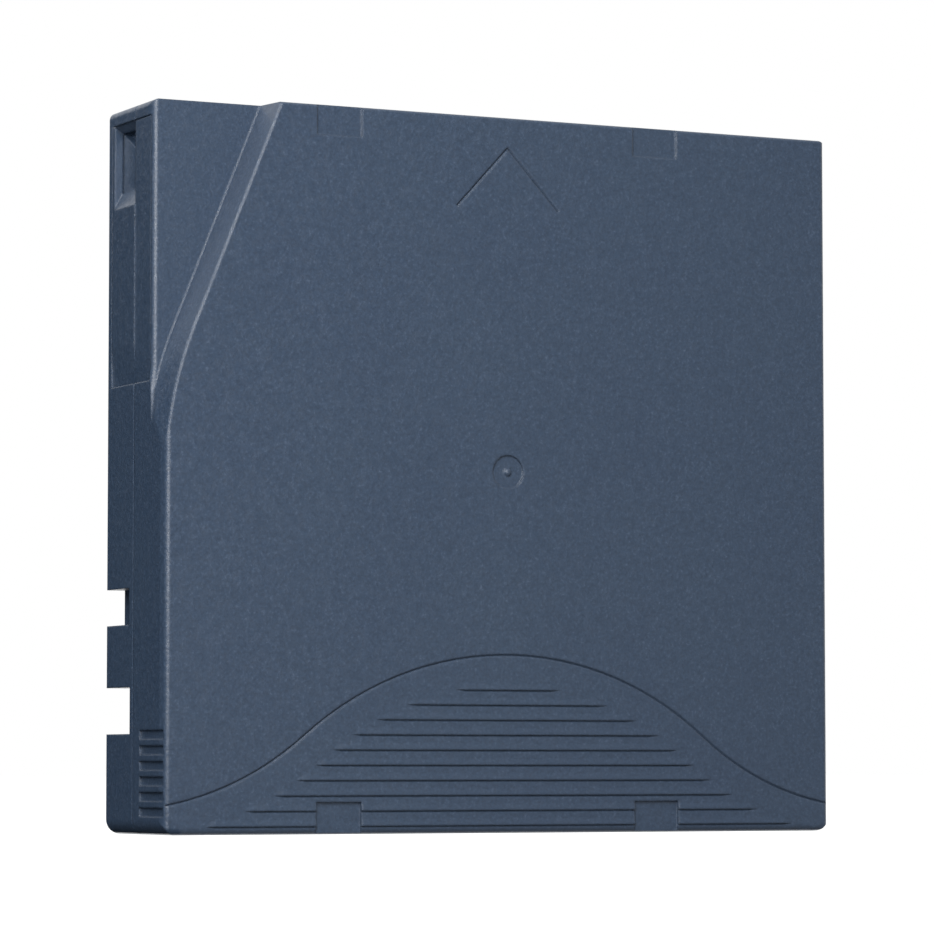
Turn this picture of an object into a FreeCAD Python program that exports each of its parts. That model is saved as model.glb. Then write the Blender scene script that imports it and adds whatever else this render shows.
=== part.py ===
"""Data tape cartridge: a flat case with one reel of half-inch tape.

The case is built lying flat, label edge towards -Y and lower shell down:
x runs across the label edge from the middle of the case, y runs from the label
edge to the front edge, which enters the drive first, and z runs from the outer
face of the lower shell to the outer face of the upper shell. At the end
each piece is stood on the label edge, so that +Z is the way into the drive
and the upper shell's face looks along -Y. All lengths are millimetres.
"""

import FreeCAD, Part

import math
import os

# Case
CASE_W = 105.4
CASE_D = 102.0
CASE_T = 21.5
PARTING_Z = 10.15
SIDE_WALL = 1.9
FLOOR_T = 1.5
ROOF_T = 1.6
REAR_CORNER_R = 2.0
FRONT_CORNER_R = 1.0
REAR_EDGE_R = 1.1
FACE_EDGE_R = 0.4
PARTING_BEVEL = 0.25

# Soft left and right shoulders of the upper shell
SHOULDER_H = 1.6
SHOULDER_IN = 0.25
SHOULDER_R = 0.8

# Guide recess in the front left corner of the upper shell
RECESS_T = 16.4
RECESS_ROOF_T = 0.7
RECESS_ANGLE = 22.35
RECESS_EDGE_Y = CASE_D - 41.95
RECESS_BEND_R = 55.0
RECESS_DRAFT = 0.8
RECESS_BROW_R = 0.4
RECESS_FOOT_R = 0.2
RECESS_SHOULDER_H = 1.6
RECESS_FLOOR_Y = CASE_D - 37.3
RECESS_FADE = 9.0

# Marks on the upper face
ARROW_TIP_Y = CASE_D - 4.4
ARROW_HALF_W = 8.05
ARROW_H = 8.65
GROOVE_W = 0.4
GROOVE_DEPTH = 0.35
GATE_R = 2.4
GATE_DEPTH = 0.3
GATE_NUB_R = 0.65
WAVE_TOP_Y = 25.15
WAVE_CREST_R = 49.4
WAVE_FOOT_R = 44.2
WAVE_TURN = 39.9
RIB_COUNT = 10
RIB_TOP_Y = 20.2
RIB_PITCH = 2.12
RIB_LEN = 1.0
RIB_PROUD = 0.18
RIB_CUT_W = 0.3
RIB_CUT_DEPTH = 0.3
RIB_INSET = 4.2
PADS = [
    # middle across, width
    (-26.4, 6.9),
    (23.9, 7.15),
]
FRONT_PAD_LEN = 4.25
REAR_PAD_LEN = 4.45
FRONT_PAD_DEPTH = 0.3
REAR_PAD_DEPTH = 0.5

# Side walls
BAR_COUNT = 6
BAR_TOP_Y = 14.4
BAR_PITCH = 2.13
BAR_H = 1.25
BAR_Z0 = 12.6
BAR_Z1 = 20.9
BAR_DEPTH = 0.35
NOTCH_WALL = 1.2
NOTCHES = [
    # rear end, front end, height, depth
    (13.9, 20.4, 9.0, 3.7),
    (29.1, 34.2, 8.6, 2.8),
]

# Rear face: label recess and write-protect window
LABEL_Z0 = 3.4
LABEL_Z1 = 18.0
LABEL_DEPTH = 0.4
TAB_NUB_LEN = 4.6
TAB_TRAVEL = 5.8
WINDOW_X0 = 11.7 - CASE_W / 2
WINDOW_X1 = WINDOW_X0 + TAB_NUB_LEN + TAB_TRAVEL + 1.1
WINDOW_Z0 = 3.2
WINDOW_Z1 = 7.6
LABEL_X0 = WINDOW_X1 + 4.5
LABEL_X1 = CASE_W / 2 - 6.7

# Screws and datum holes in the lower face
SCREW_R = 1.0
SCREW_HEAD_R = 2.0
SCREW_HEAD_T = 1.1
SCREW_SINK = 0.6
SCREW_TOP = 17.0
SCREW_GAP = 0.05
HEAD_GAP = 0.25
BOSS_R = 3.0
SCREW_INSET_X = 6.2
SCREW_INSET_Y = 5.6
SCREW_LEAD_X = 23.2 - CASE_W / 2
SCREW_LEAD_INSET = 4.7
LEAD_BOSS_R = 2.6
DATUM_R = 2.3
DATUM_DEPTH = 3.2
DATUM_INSET_X = 7.5
DATUM_POINTS = [(CASE_W / 2 - DATUM_INSET_X, CASE_D - 24.0), (DATUM_INSET_X - CASE_W / 2, 24.6)]

# Reel
REEL_Y = CASE_D / 2 + 0.2
REEL_SIDE_GAP = 2.8
REEL_END_GAP = 1.4
REEL_FLOAT = 0.15
FLANGE_R = min(CASE_W / 2 - SIDE_WALL - REEL_SIDE_GAP, CASE_D / 2 - FLOOR_T - REEL_END_GAP)
FLANGE_T = 0.6
TAPE_W = 12.65
TAPE_GAP = 0.05
PACK_R = FLANGE_R - 1.5
HUB_R = 22.0
HUB_WALL = 2.6
WEB_T = 1.6
WEB_RISE = 2.55
UPPER_FLANGE_BORE_R = HUB_R - 5.5
FLANGE_RIM_T = 0.9
FLANGE_RIM_H = 1.0
RIM_GAP = 0.05
ACCESS_R = HUB_R - HUB_WALL - 0.4
TOOTH_COUNT = 60
DRIVE_TOOTH_H = 0.9
DRIVE_RING_R1 = ACCESS_R - 0.8
DRIVE_RING_R0 = DRIVE_RING_R1 - 3.0
DRIVE_RING_Z = 0.7
DRIVE_GROOVE_W = 1.4
BRAKE_RING_R1 = HUB_R - HUB_WALL - 0.8
BRAKE_RING_R0 = BRAKE_RING_R1 - 3.0
BRAKE_RING_H = 1.0
BRAKE_GROOVE_W = 1.3
BRAKE_GROOVE_DEPTH = 0.9
WELL_GAP = 1.0
WELL_RIB_T = 0.9
WELL_RIB_H = 4.4
WELL_ARCS = [(16.0, 76.0), (200.0, 256.0), (284.0, 340.0)]

# Clutch plate, release pad and brake
PLATE_T = 0.9
PLATE_HOLE_R = 2.1
RIVET_R = 2.05
RIVET_H = 1.1
FOOT_CIRCLE_R = DRIVE_RING_R0 - 2.2
PLATE_R = FOOT_CIRCLE_R - 2.0
FOOT_R = 1.5
FOOT_GAP = 0.1
FOOT_TIP_Z = 2.2
PAD_GAP = 0.1
PAD_T = 1.2
PAD_DISC_R = 6.5
PAD_ARM_W = 3.6
DOME_R = 3.0
DOME_H = 1.0
BUTTON_GAP = 0.1
BUTTON_T = 1.4
BUTTON_R0 = BRAKE_RING_R0 + 0.2
BUTTON_R1 = BRAKE_RING_R1 - 0.4
TOOTH_ROOT_W = 1.0
TOOTH_TIP_W = 0.16
TOOTH_H = 0.8
MESH_GAP = 0.3
BRAKE_TRAVEL = 1.6
POST_W = 6.0
POST_GAP = 0.1
SOCKET_R = 5.6
SOCKET_H = 6.2
POST_END_GAP = 0.3
BRAKE_COIL_R = 7.1
BRAKE_WIRE_R = 0.4
BRAKE_TURNS = 5
SPRING_RING_T = 0.9
SPRING_RING_H = 1.5
SPRING_SIDE_GAP = 0.3

# Door
DOOR_REAR_Y = CASE_D - 39.25
DOOR_FRONT_WALL = 2.15
DOOR_GAP = 0.1
DOOR_TOP_GAP = 0.05
DOOR_FRONT_GAP = 0.05
DOOR_INNER = 2.6
DOOR_TRAVEL = 22.0
DOOR_SHIFT = 1.4
DOOR_LIP = 0.25
DOOR_TAIL = 4.0
DOOR_STEP_Z = 9.85
DOOR_STEP = 0.15
POCKET_LEN = 11.9
POCKET_FLOOR_T = 0.8
POCKET_DEPTH = 1.3
POCKET_RAMP = 2.4
POCKET_SLOT_W = 0.25
POCKET_SLOT_DEPTH = 0.2
HOOD_FALL = 0.9
NOOK_DEPTH = 1.0
NOOK_SLOPE = 0.54
CREASE_UP = 0.9
CREASE_DEPTH = 0.35
PEG_R = 0.6
PEG_H = 0.4
PEG_GAP = 0.1
PEG_U = 1.85
PEG_TAIL_Y = DOOR_REAR_Y - 1.5
PEG_FRONT_Y = CASE_D - 4.6
SPRING_Z = 12.6
DOOR_COIL_R = 1.1
DOOR_WIRE_R = 0.17
DOOR_TURNS = 20
SPRING_SEAT_Y = DOOR_REAR_Y - 39.0
SEAT_T = 1.2
SEAT_REACH = 4.6

# Leader pin and its parts
PIN_U = 7.5
PIN_Y = CASE_D - 11.0
PIN_END_GAP = 0.15
PIN_HEAD_R = 1.75
PIN_HEAD_T = 0.55
PIN_CORE_R = 1.05
CLAMP_R = 1.75
CLAMP_GAP = 0.12
TAPE_T = 0.12
LEADER_MEET = 0.15
CLIP_WIRE_R = 0.2
CLIP_MOUTH = 0.15
CLIP_LEN = 5.0
CLIP_BEND_R = 1.3
CLIP_POST_H = 1.4

# Write-protect tab
TAB_LEN = 9.0
TAB_DEPTH = 2.6
TAB_GAP = 0.12
TAB_NUB_SINK = 0.5
TAB_RAIL_T = 1.0

# Memory board, standing across the rear right corner
BOARD_LEN = 11.0
BOARD_H = 6.4
BOARD_T = 0.8
BOARD_RADIUS = FLANGE_R + 9.5
BOARD_ANGLE = -50.0
CHIP_LEN = 3.4
CHIP_H = 3.0
CHIP_T = 0.7
CRADLE_T = 1.2
CRADLE_H = 3.0
CRADLE_GAP = 0.08

# Worked out
LEFT = -CASE_W / 2
CEILING = CASE_T - ROOF_T
RECESS_CEILING = RECESS_T - RECESS_ROOF_T
REEL_Z = FLOOR_T + REEL_FLOAT
PACK_Z0 = REEL_Z + FLANGE_T + TAPE_GAP
PACK_Z1 = PACK_Z0 + TAPE_W
TOP_FLANGE_Z = PACK_Z1 + TAPE_GAP
WEB_Z0 = REEL_Z + WEB_RISE
WEB_Z1 = WEB_Z0 + WEB_T
DOOR_SLOPE = DOOR_SHIFT / DOOR_TRAVEL
DOOR_Z0 = FLOOR_T + DOOR_GAP
DOOR_Z1 = RECESS_CEILING - DOOR_TOP_GAP
DOOR_Y0 = DOOR_REAR_Y + DOOR_GAP
DOOR_Y1 = CASE_D - DOOR_FRONT_WALL - DOOR_FRONT_GAP
PIN_X = LEFT + PIN_U
BUTTON_Z = WEB_Z1 + PAD_GAP + PAD_T + DOME_H + BUTTON_GAP
BUTTON_TOP = BUTTON_Z + BUTTON_T
BRAKE_TOP = WEB_Z1 + BRAKE_RING_H
EPS = 0.01


def vec(x, y, z):
    """Short name for a FreeCAD vector."""
    return FreeCAD.Vector(x, y, z)


def box(x0, x1, y0, y1, z0, z1):
    """Block between two corners."""
    return Part.makeBox(x1 - x0, y1 - y0, z1 - z0, vec(x0, y0, z0))


def rod(r, z0, z1, x=0.0, y=REEL_Y):
    """Upright cylinder."""
    return Part.makeCylinder(r, z1 - z0, vec(x, y, z0))


def ring(r0, r1, z0, z1, x=0.0, y=REEL_Y):
    """Upright tube from radius r0 to r1."""
    return rod(r1, z0, z1, x, y).cut(rod(r0, z0 - 1, z1 + 1, x, y))


def prism(points, z0, z1):
    """Plan polygon raised from z0 to z1."""
    corners = [vec(x, y, z0) for x, y in points]
    face = Part.Face(Part.makePolygon(corners + corners[:1]))
    return face.extrude(vec(0, 0, z1 - z0))


def bar(points, x0, x1):
    """Polygon in y and z carried along x."""
    corners = [vec(x0, y, z) for y, z in points]
    face = Part.Face(Part.makePolygon(corners + corners[:1]))
    return face.extrude(vec(x1 - x0, 0, 0))


def turned(points, x=0.0, y=REEL_Y):
    """Solid of revolution from a polygon of radius and height."""
    corners = [vec(x + r, y, z) for r, z in points]
    face = Part.Face(Part.makePolygon(corners + corners[:1]))
    return face.revolve(vec(x, y, 0), vec(0, 0, 1), 360)


def fused(shapes):
    """One clean solid from several that touch."""
    return shapes[0].fuse(shapes[1:]).removeSplitter()


def mirrored(shape):
    """The same form on the other side of the case."""
    return shape.mirror(vec(0, 0, 0), vec(1, 0, 0))


def around(shape, angle, x=0.0, y=REEL_Y):
    """A copy turned about an upright axis."""
    copy = shape.copy()
    copy.rotate(vec(x, y, 0), vec(0, 0, 1), angle)
    return copy


def moved(shape, dx, dy, dz=0.0):
    """A copy moved in the plan."""
    copy = shape.copy()
    copy.translate(vec(dx, dy, dz))
    return copy


def case_plan(inset, z):
    """Plan outline of the case, moved inwards by inset, with round corners."""
    half = CASE_W / 2 - inset
    y0 = inset
    y1 = CASE_D - inset
    rear = max(REAR_CORNER_R - inset, 0.4)
    front = max(FRONT_CORNER_R - inset, 0.4)
    corners = [
        (-half, y0, rear, 180),
        (half, y0, rear, 270),
        (half, y1, front, 0),
        (-half, y1, front, 90),
    ]
    edges = []
    last = None
    first = None
    for x, y, r, start in corners:
        cx = x - math.copysign(r, x)
        cy = y + r if y == y0 else y - r
        at = [math.radians(start + turn) for turn in (0, 45, 90)]
        a, b, c = [vec(cx + r * math.cos(t), cy + r * math.sin(t), z) for t in at]
        if last:
            edges.append(Part.LineSegment(last, a).toShape())
        edges.append(Part.Arc(a, b, c).toShape())
        first = first or a
        last = c
    edges.append(Part.LineSegment(last, first).toShape())
    return Part.Wire(edges)


def case_block(inset, z0, z1):
    """Solid with the case's plan."""
    return Part.Face(case_plan(inset, z0)).extrude(vec(0, 0, z1 - z0))


def edges_at(shape, z, rear=None):
    """Edges that lie at one height; rear picks those on, or off, the label edge."""
    found = []
    for edge in shape.Edges:
        b = edge.BoundBox
        if abs(b.ZMin - z) > EPS or abs(b.ZMax - z) > EPS:
            continue
        on_rear = b.YMax < EPS
        if rear is None or on_rear == rear:
            found.append(edge)
    return found


def recess_outline(out):
    """Plan outline of the guide recess; out moves its wall towards the corner.

    The wall is a straight run at RECESS_ANGLE to the case's side and a round
    bend that meets the side at a tangent.
    """
    lean = math.radians(RECESS_ANGLE)
    start_y = RECESS_EDGE_Y - RECESS_BEND_R * math.tan(lean / 2)
    cx = LEFT + RECESS_BEND_R
    r = RECESS_BEND_R + out
    bend = [
        vec(cx - r * math.cos(t), start_y + r * math.sin(t), 0)
        for t in (0, lean / 2, lean)
    ]
    end_y = CASE_D + 4
    end_x = bend[2].x + (end_y - bend[2].y) * math.tan(lean)
    end = vec(end_x, end_y, 0)
    far_x = LEFT - 6
    outer = [vec(far_x, end_y, 0), vec(far_x, bend[0].y, 0)]
    return Part.Wire([
        Part.Arc(bend[0], bend[1], bend[2]).toShape(),
        Part.LineSegment(bend[2], end).toShape(),
        Part.LineSegment(end, outer[0]).toShape(),
        Part.LineSegment(outer[0], outer[1]).toShape(),
        Part.LineSegment(outer[1], bend[0]).toShape(),
    ])


def recess_tool(levels):
    """Solid over the guide recess, through one outline for each height and offset."""
    wires = []
    for z, out in levels:
        wire = recess_outline(out)
        wire.translate(vec(0, 0, z))
        wires.append(wire)
    return Part.makeLoft(wires, True, True)


def recess_levels():
    """Section of the recess wall: a round foot, the drafted wall and a round brow."""
    turns = [math.radians(a) for a in (0, 30, 60, 90)]
    foot = RECESS_FOOT_R
    brow = RECESS_BROW_R
    levels = [
        (RECESS_T + foot * (1 - math.cos(a)), RECESS_DRAFT - foot * (math.sin(a) - 1))
        for a in turns
    ]
    levels += [
        (CASE_T - brow * (1 - math.sin(a)), -brow * (1 - math.cos(a)))
        for a in turns
    ]
    levels.append((CASE_T + 1, -brow - 1))
    return levels


def screw_points():
    """Places of the four case screws; the one beside the pin stands off the tape."""
    x = CASE_W / 2 - SCREW_INSET_X
    return [
        (-x, SCREW_INSET_Y, BOSS_R),
        (x, SCREW_INSET_Y, BOSS_R),
        (x, CASE_D - SCREW_INSET_Y, BOSS_R),
        (SCREW_LEAD_X, CASE_D - SCREW_LEAD_INSET, LEAD_BOSS_R),
    ]


def well_ribs(z0, z1):
    """Curved ribs that keep the reel in the middle of the case."""
    r0 = FLANGE_R + WELL_GAP
    ribs = []
    for start, end in WELL_ARCS:
        section = Part.Face(Part.makePolygon([
            vec(r0, REEL_Y, z0),
            vec(r0 + WELL_RIB_T, REEL_Y, z0),
            vec(r0 + WELL_RIB_T, REEL_Y, z1),
            vec(r0, REEL_Y, z1),
            vec(r0, REEL_Y, z0),
        ]))
        section.rotate(vec(0, REEL_Y, 0), vec(0, 0, 1), start)
        ribs.append(section.revolve(vec(0, REEL_Y, 0), vec(0, 0, 1), end - start))
    return ribs


def door_way():
    """Room in the side wall for the door: its opening and the slanted run behind it."""
    opening = box(
        LEFT - 1, LEFT + DOOR_INNER + DOOR_GAP,
        DOOR_REAR_Y, CASE_D - DOOR_FRONT_WALL,
        FLOOR_T, RECESS_CEILING,
    )
    run = (SIDE_WALL - DOOR_LIP) / DOOR_SLOPE
    slant = prism(
        [
            (LEFT + DOOR_LIP, DOOR_REAR_Y + EPS),
            (LEFT + SIDE_WALL, DOOR_REAR_Y - run),
            (LEFT + SIDE_WALL + EPS, DOOR_REAR_Y + EPS),
        ],
        FLOOR_T, RECESS_CEILING,
    )
    return [opening, slant]


def peg_slot(u, y, z0, z1):
    """Slanted slot for one of the door's guide pegs, as long as the door's travel."""
    r = PEG_R + PEG_GAP
    x = LEFT + u
    back_x = x + DOOR_SHIFT
    back_y = y - DOOR_TRAVEL
    length = math.hypot(DOOR_SHIFT, DOOR_TRAVEL)
    nx = r * DOOR_TRAVEL / length
    ny = r * DOOR_SHIFT / length
    run = prism(
        [
            (x - nx, y - ny),
            (x + nx, y + ny),
            (back_x + nx, back_y + ny),
            (back_x - nx, back_y - ny),
        ],
        z0, z1,
    )
    return fused([run, rod(r, z0, z1, x, y), rod(r, z0, z1, back_x, back_y)])


def notch_parts():
    """Handling notches on both sides: the blocks that carry them and the cuts."""
    blocks = []
    cuts = []
    for y0, y1, height, depth in NOTCHES:
        block = box(
            LEFT + SIDE_WALL / 2, LEFT + depth + NOTCH_WALL,
            y0 - NOTCH_WALL, y1 + NOTCH_WALL,
            FLOOR_T / 2, min(height + NOTCH_WALL, PARTING_Z),
        )
        cut = box(LEFT - 1, LEFT + depth, y0, y1, -1, height)
        blocks += [block, mirrored(block)]
        cuts += [cut, mirrored(cut)]
    return blocks, cuts


def window_cut():
    """Write-protect window through the rear wall."""
    return box(WINDOW_X0, WINDOW_X1, -1, SIDE_WALL + EPS, WINDOW_Z0, WINDOW_Z1)


def label_cut():
    """Shallow recess for a label on the rear face."""
    return box(LABEL_X0, LABEL_X1, -1, LABEL_DEPTH, LABEL_Z0, LABEL_Z1)


def tab_rail():
    """Rail that keeps the write-protect tab against the rear wall."""
    y0 = SIDE_WALL + TAB_GAP + TAB_DEPTH + TAB_GAP
    return box(WINDOW_X0 - 2, WINDOW_X1 + 5, y0, y0 + TAB_RAIL_T, FLOOR_T / 2, WINDOW_Z1)


def board_cradle():
    """Two slotted posts that hold the memory board across the rear right corner."""
    half = BOARD_LEN / 2
    reach = BOARD_T / 2 + CRADLE_GAP + CRADLE_T
    posts = [
        box(-reach, reach, -half - CRADLE_T, -half + 2, FLOOR_T / 2, FLOOR_T + CRADLE_H),
        box(-reach, reach, half - 2, half + CRADLE_T, FLOOR_T / 2, FLOOR_T + CRADLE_H),
    ]
    slot = box(
        -BOARD_T / 2 - CRADLE_GAP, BOARD_T / 2 + CRADLE_GAP,
        -half - CRADLE_GAP, half + CRADLE_GAP,
        FLOOR_T, FLOOR_T + CRADLE_H + 1,
    )
    return [in_corner(post.cut(slot)) for post in posts]


def in_corner(shape):
    """Put a shape made about the origin in the memory board's place."""
    copy = moved(shape, BOARD_RADIUS, REEL_Y)
    return around(copy, BOARD_ANGLE)


def make_lower_shell():
    """Lower half of the case, with the access hole, notches and bosses."""
    block = case_block(0, 0, PARTING_Z)
    block = block.makeFillet(FACE_EDGE_R, edges_at(block, 0))
    block = block.makeChamfer(PARTING_BEVEL, edges_at(block, PARTING_Z))
    shell = block.cut(case_block(SIDE_WALL, FLOOR_T, PARTING_Z + 1))
    blocks, cuts = notch_parts()
    bosses = [rod(r, FLOOR_T / 2, PARTING_Z, x, y) for x, y, r in screw_points()]
    for x, y in DATUM_POINTS:
        bosses.append(rod(DATUM_R + 1, FLOOR_T / 2, DATUM_DEPTH + 1, x, y))
    post = rod(
        CLIP_BEND_R - CLIP_WIRE_R - CLIP_MOUTH, FLOOR_T / 2, FLOOR_T + CLIP_POST_H,
        PIN_X + CLIP_LEN, PIN_Y,
    )
    ribs = well_ribs(FLOOR_T / 2, FLOOR_T + WELL_RIB_H)
    shell = fused([shell, post, tab_rail()] + blocks + bosses + ribs + board_cradle())
    cuts += [window_cut(), label_cut()] + door_way()
    cuts.append(turned([
        (0, -1), (ACCESS_R + 1.6, -1), (ACCESS_R, 0.6), (ACCESS_R, FLOOR_T + 1), (0, FLOOR_T + 1),
    ]))
    for x, y, _ in screw_points():
        cuts.append(rod(SCREW_R + SCREW_GAP, -1, PARTING_Z + 1, x, y))
        cuts.append(rod(SCREW_HEAD_R + HEAD_GAP, -1, SCREW_SINK + SCREW_HEAD_T, x, y))
    for x, y in DATUM_POINTS:
        cuts.append(rod(DATUM_R, -1, DATUM_DEPTH, x, y))
    for y in (PEG_TAIL_Y, PEG_FRONT_Y):
        cuts.append(peg_slot(PEG_U, y, DOOR_Z0 - PEG_H - DOOR_GAP, FLOOR_T + EPS))
    return shell.cut(cuts)


def shoulder_section(z_top, z_height, y):
    """Section outside the left wall's soft shoulder: a lean and then a round edge."""
    lean = math.atan(SHOULDER_IN / z_height)
    z_low = z_top - z_height
    r = SHOULDER_R
    # the round edge touches the leaning wall and the flat top
    reach = r * math.tan((math.pi / 2 - lean) / 2)
    on_wall = vec(
        LEFT + SHOULDER_IN - reach * math.sin(lean), y, z_top - reach * math.cos(lean),
    )
    on_top = vec(LEFT + SHOULDER_IN + reach, y, z_top)
    centre = vec(on_top.x, y, z_top - r)
    half = math.pi / 4 + lean / 2
    middle = vec(centre.x - r * math.cos(half), y, centre.z + r * math.sin(half))
    wall_foot = vec(LEFT, y, z_low)
    outer = [vec(on_top.x, y, z_top + 1), vec(LEFT - 1, y, z_top + 1), vec(LEFT - 1, y, z_low)]
    return Part.Face(Part.Wire([
        Part.LineSegment(wall_foot, on_wall).toShape(),
        Part.Arc(on_wall, middle, on_top).toShape(),
        Part.LineSegment(on_top, outer[0]).toShape(),
        Part.LineSegment(outer[0], outer[1]).toShape(),
        Part.LineSegment(outer[1], outer[2]).toShape(),
        Part.LineSegment(outer[2], wall_foot).toShape(),
    ]))


def rear_round():
    """Tool that rounds the upper face's edge along the label edge."""
    r = REAR_EDGE_R
    edge = bar([(-1, CASE_T - r), (r, CASE_T - r), (r, CASE_T + 1), (-1, CASE_T + 1)], LEFT - 1, -LEFT + 1)
    roller = Part.makeCylinder(r, CASE_W + 4, vec(LEFT - 2, r, CASE_T - r), vec(1, 0, 0))
    return edge.cut(roller)


def groove_along(x0, y0, x1, y1):
    """V groove in the upper face along a straight line."""
    length = math.hypot(x1 - x0, y1 - y0)
    section = Part.Face(Part.makePolygon([
        vec(-GROOVE_W / 2, 0, CASE_T + EPS),
        vec(GROOVE_W / 2, 0, CASE_T + EPS),
        vec(0, 0, CASE_T - GROOVE_DEPTH),
        vec(-GROOVE_W / 2, 0, CASE_T + EPS),
    ]))
    run = section.extrude(vec(0, length, 0))
    run.rotate(vec(0, 0, 0), vec(0, 0, 1), math.degrees(math.atan2(y1 - y0, x1 - x0)) - 90)
    run.translate(vec(x0, y0, 0))
    return run


def groove_arc(cx, cy, r, start, turn):
    """V groove in the upper face along an arc."""
    section = Part.Face(Part.makePolygon([
        vec(cx + r - GROOVE_W / 2, cy, CASE_T + EPS),
        vec(cx + r + GROOVE_W / 2, cy, CASE_T + EPS),
        vec(cx + r, cy, CASE_T - GROOVE_DEPTH),
        vec(cx + r - GROOVE_W / 2, cy, CASE_T + EPS),
    ]))
    section.rotate(vec(cx, cy, 0), vec(0, 0, 1), start)
    return section.revolve(vec(cx, cy, 0), vec(0, 0, 1), turn)


def wave_foot_centre():
    """Centre of the right foot arc of the wave."""
    lean = math.radians(WAVE_TURN)
    reach = WAVE_CREST_R + WAVE_FOOT_R
    crest_y = WAVE_TOP_Y - WAVE_CREST_R
    return reach * math.sin(lean), crest_y + reach * math.cos(lean)


def wave_grooves():
    """Curved groove over the finger ribs: one crest arc and a foot arc each side."""
    crest = groove_arc(
        0, WAVE_TOP_Y - WAVE_CREST_R, WAVE_CREST_R, 90 - WAVE_TURN, 2 * WAVE_TURN,
    )
    cx, cy = wave_foot_centre()
    turn = WAVE_TURN - math.degrees(math.asin((cx - CASE_W / 2 - 2) / WAVE_FOOT_R))
    foot = groove_arc(cx, cy, WAVE_FOOT_R, 270 - WAVE_TURN, turn)
    return [crest, foot, mirrored(foot)]


def rib_half_length(y):
    """Half the length of a finger rib: it ends RIB_INSET inside the wave."""
    cx, cy = wave_foot_centre()
    crest_y = WAVE_TOP_Y - WAVE_CREST_R
    crest_r = WAVE_CREST_R - RIB_INSET
    if y > crest_y + crest_r * math.cos(math.radians(WAVE_TURN)):
        return math.sqrt(crest_r ** 2 - (y - crest_y) ** 2)
    foot_r = WAVE_FOOT_R + RIB_INSET
    return cx - math.sqrt(foot_r ** 2 - (y - cy) ** 2)


def finger_rib(y):
    """One rib: a low wedge that rises towards a steep rear side, with thinned ends."""
    half = rib_half_length(y)
    full = half - 1.5
    sections = []
    for x, share in ((-half, 0.05), (-full, 1.0), (full, 1.0), (half, 0.05)):
        corners = [
            vec(x, y, CASE_T - 0.2),
            vec(x, y, CASE_T + RIB_PROUD * share),
            vec(x, y + RIB_LEN * (0.3 + 0.7 * share), CASE_T - EPS),
            vec(x, y + RIB_LEN * (0.3 + 0.7 * share), CASE_T - 0.2),
        ]
        sections.append(Part.makePolygon(corners + corners[:1]))
    return Part.makeLoft(sections, True, True)


def rib_cut(y):
    """Narrow groove at the foot of a rib's steep side, with thinned ends."""
    half = rib_half_length(y)
    full = half - 1.5
    sections = []
    for x, share in ((-half, 0.1), (-full, 1.0), (full, 1.0), (half, 0.1)):
        corners = [
            vec(x, y, CASE_T + 1),
            vec(x, y, CASE_T - RIB_CUT_DEPTH * share),
            vec(x, y - RIB_CUT_W * share, CASE_T),
            vec(x, y - RIB_CUT_W * share, CASE_T + 1),
        ]
        sections.append(Part.makePolygon(corners + corners[:1]))
    return Part.makeLoft(sections, True, True)


def face_pads():
    """Shallow pads at the front and rear edges of the upper face."""
    pads = []
    for x, width in PADS:
        x0 = x - width / 2
        x1 = x + width / 2
        pads.append(box(
            x0, x1, CASE_D - FRONT_PAD_LEN, CASE_D + 1, CASE_T - FRONT_PAD_DEPTH, CASE_T + 1,
        ))
        pads.append(box(x0, x1, -1, REAR_PAD_LEN, CASE_T - REAR_PAD_DEPTH, CASE_T + 1))
    return pads


def grip_bars():
    """Short recessed bars on both side walls near the label edge."""
    bars = []
    for index in range(BAR_COUNT):
        y1 = BAR_TOP_Y - index * BAR_PITCH
        cut = box(LEFT - 1, LEFT + BAR_DEPTH, y1 - BAR_H, y1, BAR_Z0, BAR_Z1)
        bars += [cut, mirrored(cut)]
    return bars


def brake_post():
    """Square post that keeps the brake from turning, and the ring round its spring."""
    z0 = BUTTON_TOP + BRAKE_TRAVEL + POST_END_GAP
    half = POST_W / 2
    post = box(-half, half, REEL_Y - half, REEL_Y + half, z0, CEILING + EPS)
    r = BRAKE_COIL_R + BRAKE_WIRE_R + SPRING_SIDE_GAP
    seat = ring(r, r + SPRING_RING_T, CEILING - SPRING_RING_H, CEILING + EPS)
    return [post, seat]


def upper_skin():
    """Outer form of the upper shell, before it is hollowed."""
    block = case_block(0, PARTING_Z, CASE_T)
    block = block.makeFillet(FACE_EDGE_R, edges_at(block, CASE_T))
    shoulder = shoulder_section(CASE_T, SHOULDER_H, -1).extrude(vec(0, CASE_D + 2, 0))
    block = block.cut([shoulder, mirrored(shoulder), rear_round()])
    ribs = [finger_rib(RIB_TOP_Y - i * RIB_PITCH) for i in range(RIB_COUNT)]
    block = fused([block] + ribs)
    cuts = [recess_tool(recess_levels())]
    low = shoulder_section(RECESS_T, RECESS_SHOULDER_H, RECESS_FLOOR_Y)
    cuts.append(low.extrude(vec(0, CASE_D - RECESS_FLOOR_Y + 1, 0)))
    cuts.append(low.extrude(vec(-SHOULDER_IN - SHOULDER_R, -RECESS_FADE, 0)))
    cuts += [rib_cut(RIB_TOP_Y - i * RIB_PITCH) for i in range(RIB_COUNT)]
    cuts += face_pads() + wave_grooves() + grip_bars() + [label_cut()]
    cuts.append(groove_along(0, ARROW_TIP_Y, -ARROW_HALF_W, ARROW_TIP_Y - ARROW_H))
    cuts.append(groove_along(0, ARROW_TIP_Y, ARROW_HALF_W, ARROW_TIP_Y - ARROW_H))
    cuts.append(rod(GATE_R, CASE_T - GATE_DEPTH, CASE_T + 1))
    skin = block.cut(cuts)
    nub = Part.makeSphere(GATE_NUB_R, vec(0, REEL_Y, CASE_T - GATE_DEPTH - GATE_NUB_R / 3))
    return skin.fuse(nub)


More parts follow.
